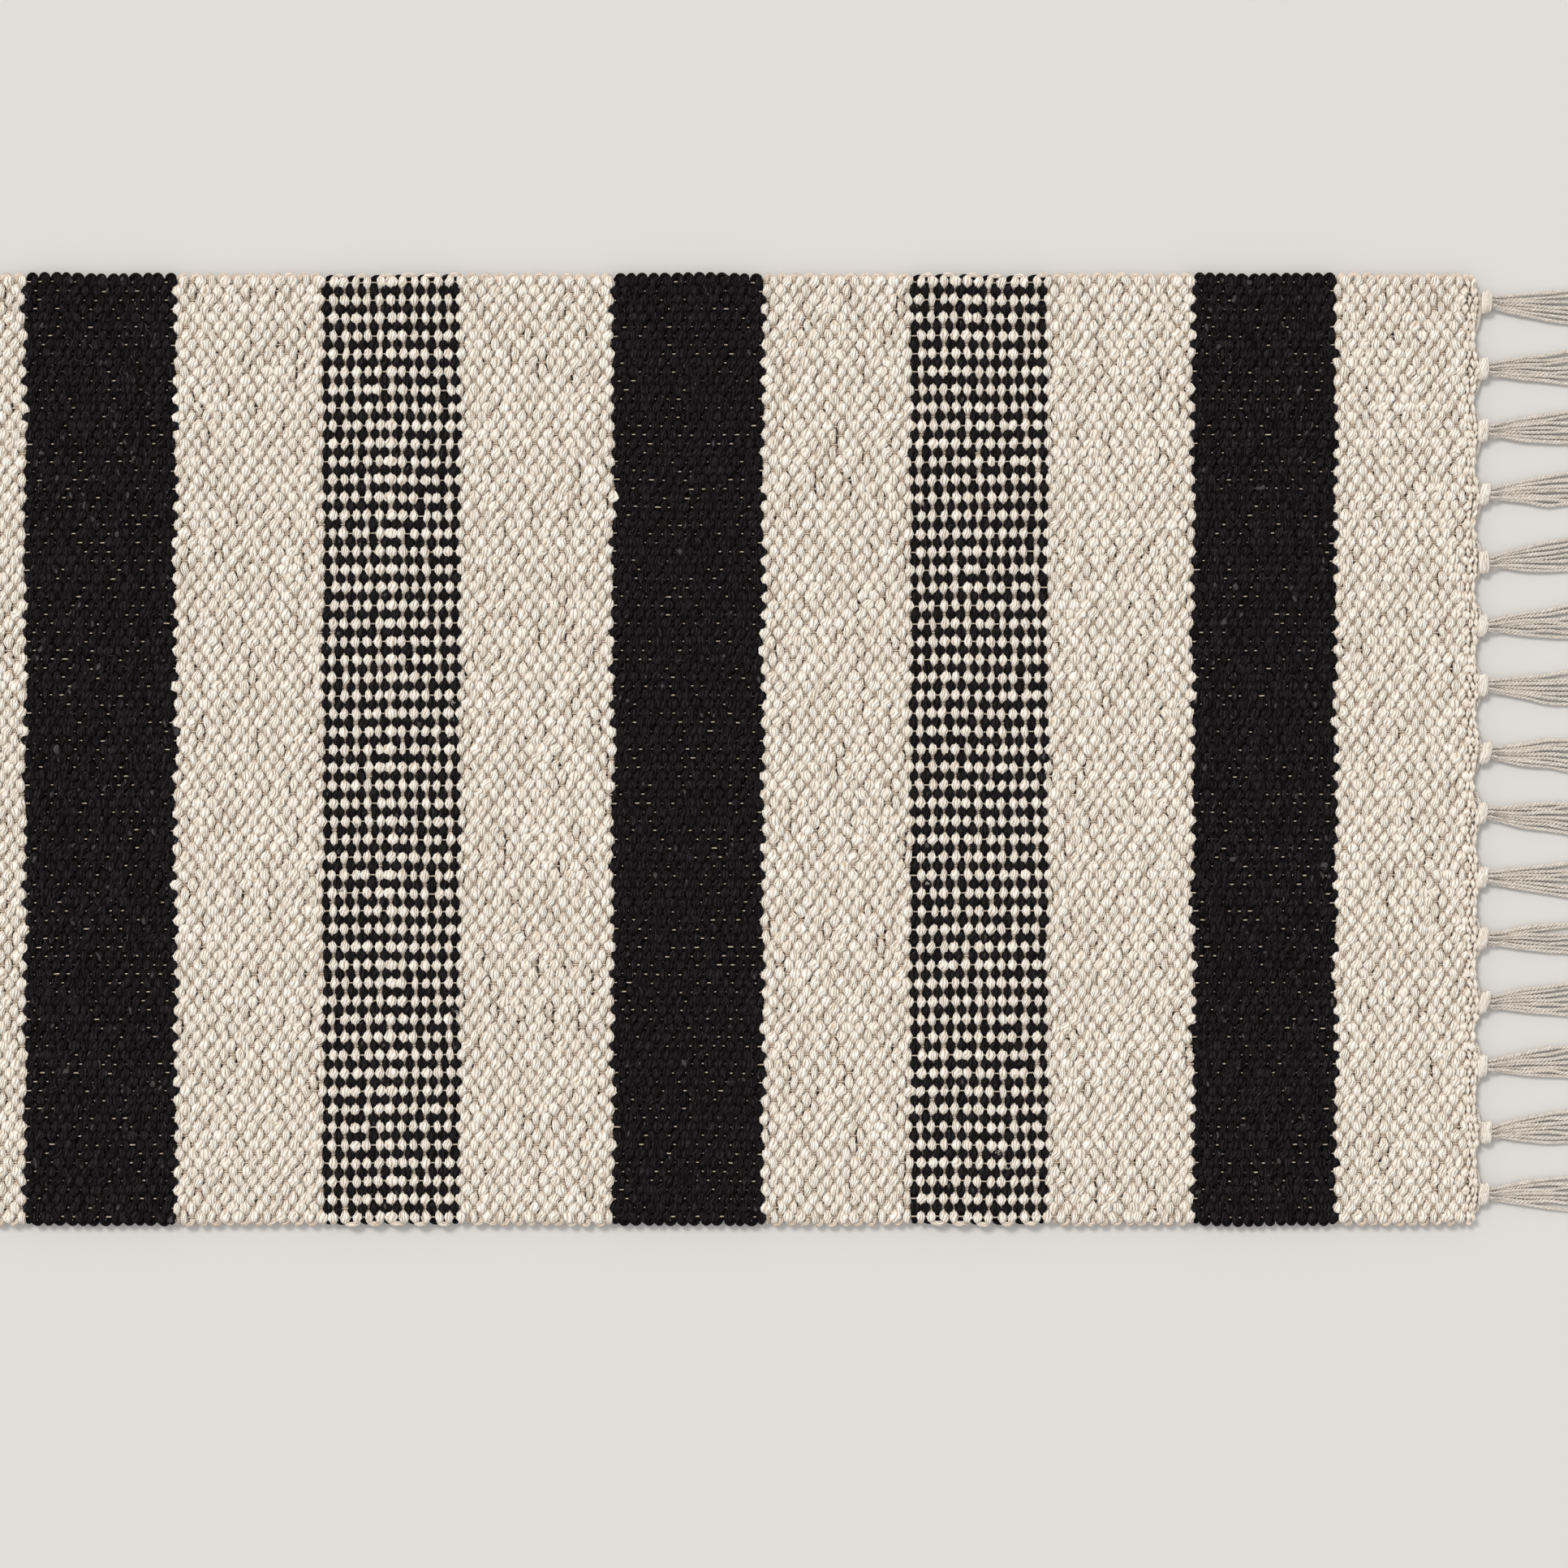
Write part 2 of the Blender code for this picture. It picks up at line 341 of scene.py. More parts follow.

# %% [markdown]
# ## The finish of cotton yarn
# Soft weft is a rope of a few loosely twisted strands. Close up, each pebble shows
# four or five of them, with a thin dark line between, and hair-fine fibres that catch
# the light. The finish draws the strands from the stored turn around the yarn, slides
# them a little as the yarn goes on, which is the twist, and presses them in with a
# bump. It also darkens the colour in the grooves between strands, which is a painted shade.
# Where the yarn dives between pebbles the finish paints in a warm shade, standing in for
# the shadow and bounced light in those crevices. For this it measures how far a point lies
# from the cloth's middle, which does for both faces.
# Cotton has no shine, only a faint fuzz, which the sheen gives.


# %% Shorten the wiring of nodes
def wired(tree, kind, inputs=None, **settings):
    """A new node with its settings, and its inputs linked or filled in."""
    node = tree.nodes.new(kind)
    for key, value in settings.items():
        setattr(node, key, value)
    for key, value in (inputs or {}).items():
        if isinstance(value, bpy.types.NodeSocket):
            tree.links.new(value, node.inputs[key])
        else:
            node.inputs[key].default_value = value
    return node


def sum_of(tree, operation, first, second):
    """The output of one math node."""
    return wired(tree, "ShaderNodeMath", {0: first, 1: second}, operation=operation).outputs[0]


def ramp(tree, factor, stops):
    """A colour ramp over the factor; stops are (place, linear colour)."""
    node = wired(tree, "ShaderNodeValToRGB", {"Fac": factor})
    band = node.color_ramp
    while len(band.elements) < len(stops):
        band.elements.new(0.5)
    for element, (place, colour) in zip(band.elements, stops):
        element.position = place
        element.color = (*colour, 1.0)
    return node.outputs["Color"]


print("nodes can be wired with", wired.__name__, sum_of.__name__, ramp.__name__)

# %% Write the cotton finish
ROUGHNESS = 0.88
SHEEN_ROUGHNESS = 0.55
WOBBLE_GRAIN = (190.0, 4.0, 1.5)
STREAK_GRAIN = (230.0, 15.0, 1.0)
FIBRE_GRAIN = (420.0, 44.0, 3.0)
FLECK_GRAIN = (260.0, 6.0, 0.0)
TONE_SHIFT = 37.0
TWIST_WOBBLE = 2.6
STRAND_ROUNDING = 0.6
# How far the strand grooves darken the colour, a painted shade.
STRAND_GROOVE_SHADE_SHARE = 0.30
STREAK_SHARE = 0.80
FIBRE_SHARE = 0.40
BODY_SHIFT = 0.33
# The painted valley shade fades out between these two heights from the cloth's middle.
PAINTED_SHADE_FROM = 0.02
PAINTED_SHADE_TO = 0.62
FLECK_STRENGTH = 0.55
STRAND_BUMP = 0.55
STREAK_BUMP = 0.60
BUMP_STRENGTH = 0.9


def cotton_finish(
    name,
    colours,
    painted_valley_shade,
    strands,
    lay,
    groove,
    fuzz,
    fleck,
    fleck_share,
    painted_valley_shade_share=0.62,
    gloss=0.2,
):
    """Twisted cotton: strands round the yarn, which turn once in each lay metres."""
    material = bpy.data.materials.new(name)
    material.use_nodes = True
    tree = material.node_tree
    shader = tree.nodes["Principled BSDF"]
    shader.inputs["Roughness"].default_value = ROUGHNESS
    shader.inputs["Specular IOR Level"].default_value = gloss
    shader.inputs["Sheen Weight"].default_value = fuzz
    shader.inputs["Sheen Roughness"].default_value = SHEEN_ROUGHNESS

    where = wired(tree, "ShaderNodeUVMap", uv_map="yarn").outputs["UV"]
    parts = wired(tree, "ShaderNodeSeparateXYZ", {"Vector": where})
    along = parts.outputs["X"]
    around = parts.outputs["Y"]
    tone = wired(tree, "ShaderNodeAttribute", attribute_name="tone").outputs["Fac"]
    lift = wired(tree, "ShaderNodeAttribute", attribute_name="lift").outputs["Fac"]

    def speckle(length_scale, turn_scale, detail):
        """Noise that lies along the yarn, at its own scale along and around."""
        place = wired(
            tree,
            "ShaderNodeCombineXYZ",
            {
                "X": sum_of(tree, "MULTIPLY", along, length_scale),
                "Y": sum_of(tree, "MULTIPLY", around, turn_scale),
                "Z": sum_of(tree, "MULTIPLY", tone, TONE_SHIFT),
            },
        ).outputs["Vector"]
        noise = wired(tree, "ShaderNodeTexNoise", {"Vector": place, "Scale": 1.0, "Detail": detail})
        return noise.outputs["Fac"]

    wobble = speckle(*WOBBLE_GRAIN)
    turns = sum_of(tree, "ADD", around, sum_of(tree, "DIVIDE", along, lay))
    phase = sum_of(tree, "ADD", turns, sum_of(tree, "MULTIPLY", wobble, TWIST_WOBBLE / strands))
    wave = sum_of(tree, "SINE", sum_of(tree, "MULTIPLY", phase, math.pi * strands), 0.0)
    strand = sum_of(tree, "POWER", sum_of(tree, "ABSOLUTE", wave, 0.0), STRAND_ROUNDING)
    streak = speckle(*STREAK_GRAIN)
    fibre = speckle(*FIBRE_GRAIN)

    # Painted shade: the strand pattern darkens the colour in the grooves between strands, besides pressing them in
    # with the bump below.
    body = sum_of(tree, "MULTIPLY", strand, STRAND_GROOVE_SHADE_SHARE)
    body = sum_of(tree, "ADD", body, sum_of(tree, "MULTIPLY", streak, STREAK_SHARE))
    body = sum_of(tree, "ADD", body, sum_of(tree, "MULTIPLY", fibre, FIBRE_SHARE))
    body = sum_of(tree, "SUBTRACT", body, BODY_SHIFT)
    colour = ramp(tree, body, colours)
    # Painted shade: points near the cloth's middle, where the yarn dives between pebbles, are mixed towards the
    # warm valley colour, standing in for the shadow and bounced light in the crevices.
    from_middle = sum_of(tree, "ABSOLUTE", lift, 0.0)
    low = wired(
        tree,
        "ShaderNodeMapRange",
        {
            "Value": from_middle,
            "From Min": PAINTED_SHADE_FROM,
            "From Max": PAINTED_SHADE_TO,
            "To Min": painted_valley_shade_share,
            "To Max": 0.0,
        },
    ).outputs["Result"]
    shaded = wired(tree, "ShaderNodeMix", data_type="RGBA")
    tree.links.new(low, shaded.inputs[0])
    tree.links.new(colour, shaded.inputs[6])
    shaded.inputs[7].default_value = (*painted_valley_shade, 1.0)
    lint = sum_of(tree, "GREATER_THAN", speckle(*FLECK_GRAIN), fleck_share)
    flecked = wired(tree, "ShaderNodeMix", data_type="RGBA")
    tree.links.new(sum_of(tree, "MULTIPLY", lint, FLECK_STRENGTH), flecked.inputs[0])
    tree.links.new(shaded.outputs[2], flecked.inputs[6])
    flecked.inputs[7].default_value = (*fleck, 1.0)
    tree.links.new(flecked.outputs[2], shader.inputs["Base Color"])

    strand_height = sum_of(tree, "MULTIPLY", strand, STRAND_BUMP)
    streak_height = sum_of(tree, "MULTIPLY", streak, STREAK_BUMP)
    height = sum_of(tree, "ADD", strand_height, streak_height)
    bump = wired(tree, "ShaderNodeBump", {"Height": height, "Strength": BUMP_STRENGTH, "Distance": groove})
    tree.links.new(bump.outputs["Normal"], shader.inputs["Normal"])
    return material


print("a finish mixes strands, streaks and fibres as", (STRAND_GROOVE_SHADE_SHARE, STREAK_SHARE, FIBRE_SHARE))

# %% [markdown]
# ## Seven yarns, one finish
# The rug is all cotton, so every yarn has the same finish and differs only in colour,
# in its number of strands and in how tightly it is twisted. Undyed cotton is a warm
# cream with darker hairs in it. The black is nearly without light, and its weave shows
# only by a faint gleam on each strand. In every yarn the grooves between strands pull
# the colour towards the dark low end of the ramp, which is a painted shade.

# %% Dye and twist the yarns
# Each valley colour below is a painted shade, mixed in where the yarn lies near the cloth's middle.
cream_cotton = cotton_finish(
    "cream_cotton_weft",
    [
        (0.24, (0.48, 0.37, 0.27)),
        (0.40, (0.74, 0.65, 0.53)),
        (0.54, (0.86, 0.80, 0.70)),
        (0.72, (0.90, 0.88, 0.82)),
    ],
    painted_valley_shade=(0.76, 0.59, 0.45),
    strands=9,
    lay=0.050,
    groove=0.0012,
    fuzz=0.20,
    fleck=(0.55, 0.42, 0.30),
    fleck_share=0.80,
)
black_cotton = cotton_finish(
    "black_cotton_weft",
    [(0.25, (0.0010, 0.0008, 0.0008)), (0.44, (0.0068, 0.0050, 0.0052)), (0.75, (0.026, 0.022, 0.024))],
    painted_valley_shade=(0.0014, 0.0012, 0.0011),
    strands=9,
    lay=0.050,
    groove=0.0010,
    fuzz=0.0,
    fleck=(0.10, 0.09, 0.09),
    fleck_share=0.79,
    gloss=0.08,
)
# The warps lie at the cloth's middle, so they take the painted valley shade all along.
warp_cotton = cotton_finish(
    "plied_warp_cord",
    [(0.25, (0.46, 0.35, 0.25)), (0.45, (0.72, 0.62, 0.50)), (0.70, (0.94, 0.91, 0.84))],
    painted_valley_shade=(0.62, 0.50, 0.38),
    strands=3,
    lay=0.012,
    groove=0.0006,
    fuzz=0.15,
    fleck=(0.45, 0.33, 0.22),
    fleck_share=0.9,
)
fringe_cotton = cotton_finish(
    "plied_fringe_cord",
    [
        (0.24, (0.34, 0.27, 0.21)),
        (0.42, (0.60, 0.52, 0.43)),
        (0.56, (0.76, 0.69, 0.61)),
        (0.76, (0.92, 0.88, 0.82)),
    ],
    painted_valley_shade=(0.50, 0.42, 0.33),
    strands=5,
    lay=0.012,
    groove=0.00030,
    fuzz=0.25,
    fleck=(0.45, 0.33, 0.22),
    fleck_share=0.85,
    painted_valley_shade_share=0.0,
)
header_cotton = cotton_finish(
    "header_twine_cotton",
    [(0.24, (0.46, 0.34, 0.25)), (0.42, (0.74, 0.65, 0.54)), (0.72, (0.96, 0.94, 0.88))],
    painted_valley_shade=(0.72, 0.57, 0.44),
    strands=4,
    lay=0.030,
    groove=0.0004,
    fuzz=0.25,
    fleck=(0.45, 0.33, 0.22),
    fleck_share=0.85,
)
grey_fibre = cotton_finish(
    "stray_grey_fibre",
    [(0.20, (0.05, 0.045, 0.045)), (0.45, (0.12, 0.11, 0.11)), (0.75, (0.26, 0.25, 0.24))],
    painted_valley_shade=(0.05, 0.045, 0.045),
    strands=3,
    lay=0.010,
    groove=0.0001,
    fuzz=0.10,
    fleck=(0.30, 0.29, 0.28),
    fleck_share=0.7,
)
knot_cotton = cotton_finish(
    "knot_wrap_cotton",
    [
        (0.24, (0.40, 0.31, 0.24)),
        (0.42, (0.68, 0.60, 0.50)),
        (0.58, (0.84, 0.78, 0.70)),
        (0.76, (0.95, 0.92, 0.87)),
    ],
    painted_valley_shade=(0.50, 0.42, 0.33),
    strands=5,
    lay=0.080,
    groove=0.00045,
    fuzz=0.15,
    fleck=(0.45, 0.33, 0.22),
    fleck_share=0.85,
    painted_valley_shade_share=0.0,
)
print("cotton finishes:", [m.name for m in bpy.data.materials])

# %% [markdown]
# ## One pass of the weft
# Seen from the side, a weft yarn is a wave: over a warp, down between two, under the
# next. Where it passes over, it has room and swells into a pebble. Where it dives
# between two warps its neighbours squeeze it to the width of one pass, and it stands
# tall instead. The wave is a plain cosine with four rings to each warp. Thrown dice
# make some pebbles fatter, blunter or a little out of line, as soft yarn is.

# %% Shape a single pass
RINGS_PER_WARP = 4
YARN_SIDES = 8
PEBBLE_HALF_WIDE = 0.00330
PEBBLE_HALF_HIGH = 0.00165
PINCH_HALF_HIGH = 0.00260
PINCH_SHARE = 0.46
SQUARENESS = 0.62
SWELL_SPREAD = 0.21
SWELL_LIMITS = (0.62, 1.34)
ASIDE_SPREAD = 0.00046
ASIDE_AT_PINCH = 0.35
SLANT_SPREAD = 0.00052
RAISED_SPREAD = 0.00014
RAISED_LIMITS = (-0.0004, 0.0002)
POINT_MIDDLE = 0.84
POINT_SPREAD = 0.16
POINT_LIMITS = (0.50, 1.25)

pass_places = np.arange(warp_count * RINGS_PER_WARP + 1) / RINGS_PER_WARP - 0.5
wave_height = rug_half_thick - PEBBLE_HALF_HIGH


def weft_pass(x, over_even, step, dice, fullness=1.0, swing=wave_height, looseness=1.0):
    """The line and the half sizes of one pass from the near edge to the far edge."""
    warps = np.arange(warp_count)

    def per_warp(middle, spread):
        """A thrown value for each warp, run smoothly between them."""
        return np.interp(pass_places, warps, dice.normal(middle, spread, warp_count))

    swell = np.clip(per_warp(1.0, SWELL_SPREAD * looseness), *SWELL_LIMITS)
    aside = per_warp(0.0, ASIDE_SPREAD * looseness)
    raised = np.clip(per_warp(0.0, RAISED_SPREAD), *RAISED_LIMITS)
    slant = per_warp(0.0, SLANT_SPREAD * looseness)
    turn = math.pi * pass_places
    wave = np.cos(turn)
    if not over_even:
        wave = -wave
    crest = np.cos(turn) ** 2
    lean = slant * np.sin(2 * turn)
    line = np.stack(
        [
            x + aside * (ASIDE_AT_PINCH + (1 - ASIDE_AT_PINCH) * crest) + lean,
            first_warp + warp_step * pass_places,
            rug_middle + swing * wave + raised * crest,
        ],
        axis=-1,
    )
    pinch = PINCH_SHARE * step
    point = np.clip(per_warp(POINT_MIDDLE, POINT_SPREAD), *POINT_LIMITS)
    wide = (pinch + (PEBBLE_HALF_WIDE * swell - pinch) * crest**point) * fullness
    high = PINCH_HALF_HIGH + (PEBBLE_HALF_HIGH - PINCH_HALF_HIGH) * crest
    return line, wide, high


print("a pass has", len(pass_places), "rings and swings", round(wave_height * 2000, 2), "mm")

# %% [markdown]
# ## Turning at the edge
# At the edge of the rug the yarn goes round the outermost warp and comes back as the
# next pass. These small loops are the selvedge, the edge that can't fray. In a check
# band two yarns take turns, so each loop has to pass the other yarn. The cream loop
# rides high, and the black one is tucked in low beneath it, as a weaver would hide it.

# %% Join passes into one long yarn
TURN_RINGS = 4
TURN_HALF = 0.00170
TURN_CLEARANCE = 0.0001
TURN_REACH = SELVEDGE_LOOP - TURN_HALF - TURN_CLEARANCE
LOW_LOOP_TUCK = 0.35


def edge_turn(x_from, x_to, side, rise):
    """The loop outside the last warp; side is +1 or -1 and rise lifts its middle."""
    angle = math.pi * np.arange(1, TURN_RINGS + 1) / (TURN_RINGS + 1)
    edge = first_warp + warp_step * (pass_places[-1] if side > 0 else pass_places[0])
    reach = TURN_REACH * (LOW_LOOP_TUCK if rise < 0 else 1.0)
    line = np.stack(
        [
            x_from + (x_to - x_from) * (1 - np.cos(angle)) / 2,
            edge + side * reach * np.sin(angle),
            rug_middle + rise * np.sin(angle),
        ],
        axis=-1,
    )
    return line, np.full(TURN_RINGS, TURN_HALF), np.full(TURN_RINGS, TURN_HALF)


def lay_weft(bundle, passes, step, dice, finish, rise=0.0, tone=0.0, looseness=1.0):
    """One unbroken yarn through the passes, each (x, over_even, fullness)."""
    lines, wides, highs = [], [], []
    for number, (x, over_even, fullness) in enumerate(passes):
        line, wide, high = weft_pass(x, over_even, step, dice, fullness, looseness=looseness)
        if number % 2:
            line, wide, high = line[::-1], wide[::-1], high[::-1]
        lines.append(line)
        wides.append(wide)
        highs.append(high)
        if number + 1 < len(passes):
            side = -1 if number % 2 else 1
            line, wide, high = edge_turn(x, passes[number + 1][0], side, rise)
            lines.append(line)
            wides.append(wide)
            highs.append(high)
    whole = drifted(np.concatenate(lines))
    wide, high = np.concatenate(wides), np.concatenate(highs)
    bundle.add(whole, wide, high, YARN_SIDES, finish, tone=tone, round_as=SQUARENESS)


print("each edge loop reaches", round(TURN_REACH * 1000, 2), "mm past the last warp")

# %% [markdown]
# ## Stray fibres and lint
# Cotton sheds. Hair-fine fibres lie about all over the cloth, and small curls of pale
# lint catch the eye where the yarn is dark. Both are short arcs laid on top of the
# pebbles, and they belong to the band they lie on, so they move with it.

# %% Scatter fibres over a stretch of cloth
STRAY_RADIUS = 0.00006
STRAYS_PER_BAND = 260
STRAY_REACH = (0.0008, 0.0024)
STRAY_BEND = (0.6, 2.6)
LINT_PER_BAND = 5
CURLS_PER_LINT = 5
LINT_RADIUS = 0.00028
LINT_REACH = (0.0004, 0.0008)
LINT_BEND = 3.5
LINT_SPREAD = 0.0003
ARC_POINTS = 7
ARC_RISE = 0.10
EDGE_MARGIN = 0.004


def curl_of_fibre(bundle, place, reach, bend, radius, finish, dice):
    """One short arc lying on the cloth, starting at the place."""
    angle = dice.uniform(0, 2 * math.pi) + np.linspace(0, bend, ARC_POINTS)
    rise = ARC_RISE * np.sin(np.linspace(0, math.pi, ARC_POINTS))
    arc = np.stack([np.cos(angle), np.sin(angle), rise], axis=-1)
    bundle.add(place + (arc - arc[0]) * reach, radius, radius, 3, finish, 0.0, dice.uniform(0, 1))


def shed_fibres(bundle, low, high, fibre_finish, dice, lint_finish=None):
    """Stray fibres all over the stretch, and lint where a finish for it is given."""

    def somewhere_on_top():
        """A thrown place on the top face, a little in from the edges."""
        x = dice.uniform(low.x + EDGE_MARGIN, high.x - EDGE_MARGIN)
        y = dice.uniform(low.y + EDGE_MARGIN, high.y - EDGE_MARGIN)
        return np.array([x, y, rug_middle + rug_half_thick])

    for _ in range(STRAYS_PER_BAND):
        place = somewhere_on_top()
        reach = dice.uniform(*STRAY_REACH)
        bend = dice.uniform(*STRAY_BEND)
        curl_of_fibre(bundle, place, reach, bend, STRAY_RADIUS, fibre_finish, dice)
    if lint_finish is None:
        return
    for _ in range(LINT_PER_BAND):
        place = somewhere_on_top()
        for _ in range(CURLS_PER_LINT):
            aside = dice.normal(0, LINT_SPREAD, 3) * (1, 1, 0)
            reach = dice.uniform(*LINT_REACH)
            curl_of_fibre(bundle, place + aside, reach, LINT_BEND, LINT_RADIUS, lint_finish, dice)


print("each band sheds", STRAYS_PER_BAND, "fibres")

# %% [markdown]
# ## Weaving the bands
# Cream bands are woven loosely and black ones are beaten tighter, so the number of
# passes differs. In a check band a black pass and a cream pass alternate. Every black
# pass then goes over the same warps and every cream pass over the others, and rows of
# dark and light pebbles appear with no extra work: the pattern is only a matter of
# which colour goes over which warp. The two yarns of a check hold each other in line,
# so its dice are gentler, and one check band has a thick place in the yarn, a slub.

# %% Weave every band over its CAD slab
PASS_STEP = {"cream": 0.00422, "black": 0.00357, "check": 0.00387}
PASS_FULLNESS = {"cream": (1.05, 1.05), "black": (1.12, 1.12), "check": (1.04, 0.97)}
CHECK_LOOP_RISE = 0.0014
CHECK_LOOSENESS = 0.62
BLACK_TONE = 0.3
CREAM_TONE = 0.7
THICK_PASS_BAND = "band_16_check"
THICK_PASS_FULLNESS = 1.28
FIRST_BAND_DICE = 100

band_names = sorted(n for n in frame["nodes"] if n.startswith("band_"))
band_pieces = {}
for band_number, band_name in enumerate(band_names, start=1):
    kind = band_name.split("_")[-1]
    low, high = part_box(band_name)
    length = high.x - low.x
    pass_count = 2 * round(length / PASS_STEP[kind] / 2)
    step = length / pass_count
    dice = np.random.default_rng(FIRST_BAND_DICE + band_number)
    fullness = PASS_FULLNESS[kind]
    passes = [(low.x + (i + 0.5) * step, i % 2 == 1, fullness[i % 2]) for i in range(pass_count)]
    if band_name == THICK_PASS_BAND:
        thick = pass_count // 2 - 1
        passes[thick] = (*passes[thick][:2], THICK_PASS_FULLNESS)
    bundle = YarnBundle()
    tone = band_number / len(band_names)
    if kind == "check":
        lay_weft(bundle, passes[0::2], step, dice, 0, -CHECK_LOOP_RISE, BLACK_TONE, CHECK_LOOSENESS)
        lay_weft(bundle, passes[1::2], step, dice, 1, CHECK_LOOP_RISE, CREAM_TONE, CHECK_LOOSENESS)
        shed_fibres(bundle, low, high, 2, dice, lint_finish=1)
        piece = bundle.make("woven_" + band_name, [black_cotton, cream_cotton, grey_fibre])
    elif kind == "black":
        lay_weft(bundle, passes, step, dice, 0, tone=tone)
        shed_fibres(bundle, low, high, 1, dice)
        piece = bundle.make("woven_" + band_name, [black_cotton, grey_fibre])
    else:
        lay_weft(bundle, passes, step, dice, 0, tone=tone)
        shed_fibres(bundle, low, high, 0, dice)
        piece = bundle.make("woven_" + band_name, [cream_cotton])
    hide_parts(band_name)
    band_pieces[band_name] = piece
    print(piece.name, pass_count, "passes,", len(piece.data.polygons), "faces")

# %% [markdown]
# ## The warps
# The warps are plied cords pulled tight on the loom, so they stay straight while the
# weft bends round them. They show only as small light specks where two black pebbles
# part, and at the ends. Two sets meet in the middle of the rug, because each set may
# bend over one fold only.

# %% Stretch the warps from the middle to each end
WARP_HALF_WIDE = 0.00052
WARP_HALF_HIGH = 0.00215
WARP_SIDES = 6
WARP_RINGS = 110
WARP_TUCK = 0.0015
WARP_START_SPREAD = 0.05
WARP_DICE = 7


def stretch_warps(name, toward):
    """All warps of one half, from the middle of the rug to the weave's end."""
    bundle = YarnBundle()
    dice = np.random.default_rng(WARP_DICE + toward)
    reach = np.linspace(0.0, weave_end - WARP_TUCK, WARP_RINGS)
    for number in range(warp_count):
        line = np.zeros((WARP_RINGS, 3))
        line[:, 0] = reach * toward
        line[:, 1] = first_warp + warp_step * number
        line[:, 2] = rug_middle
        tone = dice.uniform(0, 1)
        start = tone * WARP_START_SPREAD
        bundle.add(drifted(line), WARP_HALF_WIDE, WARP_HALF_HIGH, WARP_SIDES, 0, start, tone)
    return bundle.make(name, [warp_cotton])


warps_left = stretch_warps("warp_cords_left", -1)
warps_right = stretch_warps("warp_cords_right", 1)
print("warp cords:", len(warps_left.data.polygons) + len(warps_right.data.polygons), "faces")

# %% [markdown]
# ## The headers
# Before the first thick pass a weaver puts in a few passes of thin twine, which hold
# the warps apart and keep the weft from sliding off. Here they are made with the same
# pass as the bands, only thinner and closer, and swinging less. The one beside the
# band is fuller and closes the gap. Two finer cords at the very end go over and under
# in turn, as a twined edge does, and lock the header in place.

# %% Weave the thin header passes
HEADER_PASSES = 4
HEADER_HALF_WIDE = 0.00145
HEADER_FIRST_WIDE = 0.00265
HEADER_HALF_HIGH = 0.00125
HEADER_EVENNESS = 0.6
HEADER_TURN_SHARE = 0.8
HEADER_SIDES = 8
HEADER_DICE = 40
TWINE_RADIUS = 0.00095
TWINE_SWING = 0.0024


def weave_header(node, toward):
    """Thin passes side by side over the header's CAD slab."""
    low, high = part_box(node)
    step = (high.x - low.x) / HEADER_PASSES
    bundle = YarnBundle()
    dice = np.random.default_rng(HEADER_DICE + toward)
    swing = (high.z - low.z) / 2 - HEADER_HALF_HIGH
    lines, wides = [], []
    beside_band = 0 if toward > 0 else HEADER_PASSES - 1
    for number in range(HEADER_PASSES):
        x = low.x + (number + 0.5) * step
        line, wide, _ = weft_pass(x, number % 2 == 1, step, dice, swing=swing)
        full = HEADER_FIRST_WIDE if number == beside_band else HEADER_HALF_WIDE
        lines.append(line[::-1] if number % 2 else line)
        wides.append(full * (wide / PEBBLE_HALF_WIDE) ** HEADER_EVENNESS)
        if number + 1 < HEADER_PASSES:
            lines.append(edge_turn(x, x + step, -1 if number % 2 else 1, 0.0)[0])
            wides.append(np.full(TURN_RINGS, HEADER_HALF_WIDE * HEADER_TURN_SHARE))
    line = drifted(np.concatenate(lines))
    bundle.add(line, np.concatenate(wides), HEADER_HALF_HIGH, HEADER_SIDES, round_as=SQUARENESS)
    edge = toward * (weave_end - TWINE_RADIUS)
    for over_even in (True, False):
        line = weft_pass(edge, over_even, step, dice, swing=TWINE_SWING)[0]
        bundle.add(drifted(line), TWINE_RADIUS, TWINE_RADIUS, HEADER_SIDES)
    piece = bundle.make("woven_" + node, [header_cotton])
    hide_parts(node)
    return piece


header_pieces = {
    "header_left": weave_header("header_left", -1),
    "header_right": weave_header("header_right", 1),
}
print("headers:", [piece.name for piece in header_pieces.values()])

# %% [markdown]
# ## A two-ply cord
# Beyond the weave each warp shows what it is: two thin yarns twisted round each other.
# Twisting is a helix, a circle that moves along. Two helices half a turn apart lie
# against each other and make the rope-like ridges by themselves. Hand-spun cotton is
# uneven, so the dice also make slubs, which are thicker places, and slack, where the
# twist runs ahead or falls behind.

# %% Twist two plies round a line
PLY_RADIUS = 0.00068
PLY_TURN = 0.0047
PLY_SIDES = 6
PLY_RINGS_PER_TURN = 8
PLY_APART = 0.88
PLY_START_SHIFT = 0.01
SLUBS = 14
SLUB_SPREAD = 0.09
SLACK_SPREAD = 0.55
TWIST_RANGE = (0.85, 1.2)
SIZE_RANGE = (0.93, 1.08)
CURVE_STEPS = 12


def smooth_line(knots, spacing):
    """Points evenly along a smooth curve through the given knots, and how far along each is."""
    before = 2 * knots[:1] - knots[1:2]
    after = 2 * knots[-1:] - knots[-2:-1]
    ends = np.concatenate([before, knots, after])
    share = np.linspace(0, 1, CURVE_STEPS, endpoint=False)[:, None]
    stretches = []
    for a, b, c, d in zip(ends[:-3], ends[1:-2], ends[2:-1], ends[3:]):
        bend = (2 * a - 5 * b + 4 * c - d) * share**2 + (3 * b - a - 3 * c + d) * share**3
        stretches.append(0.5 * (2 * b + (c - a) * share + bend))
    fine = np.concatenate([*stretches, knots[-1:]])
    steps = np.linalg.norm(np.diff(fine, axis=0), axis=1)
    walked = np.concatenate([[0.0], np.cumsum(steps)])
    even = np.linspace(0, walked[-1], max(3, int(walked[-1] / spacing) + 1))
    line = np.stack([np.interp(even, walked, fine[:, axis]) for axis in range(3)], axis=-1)
    return line, even


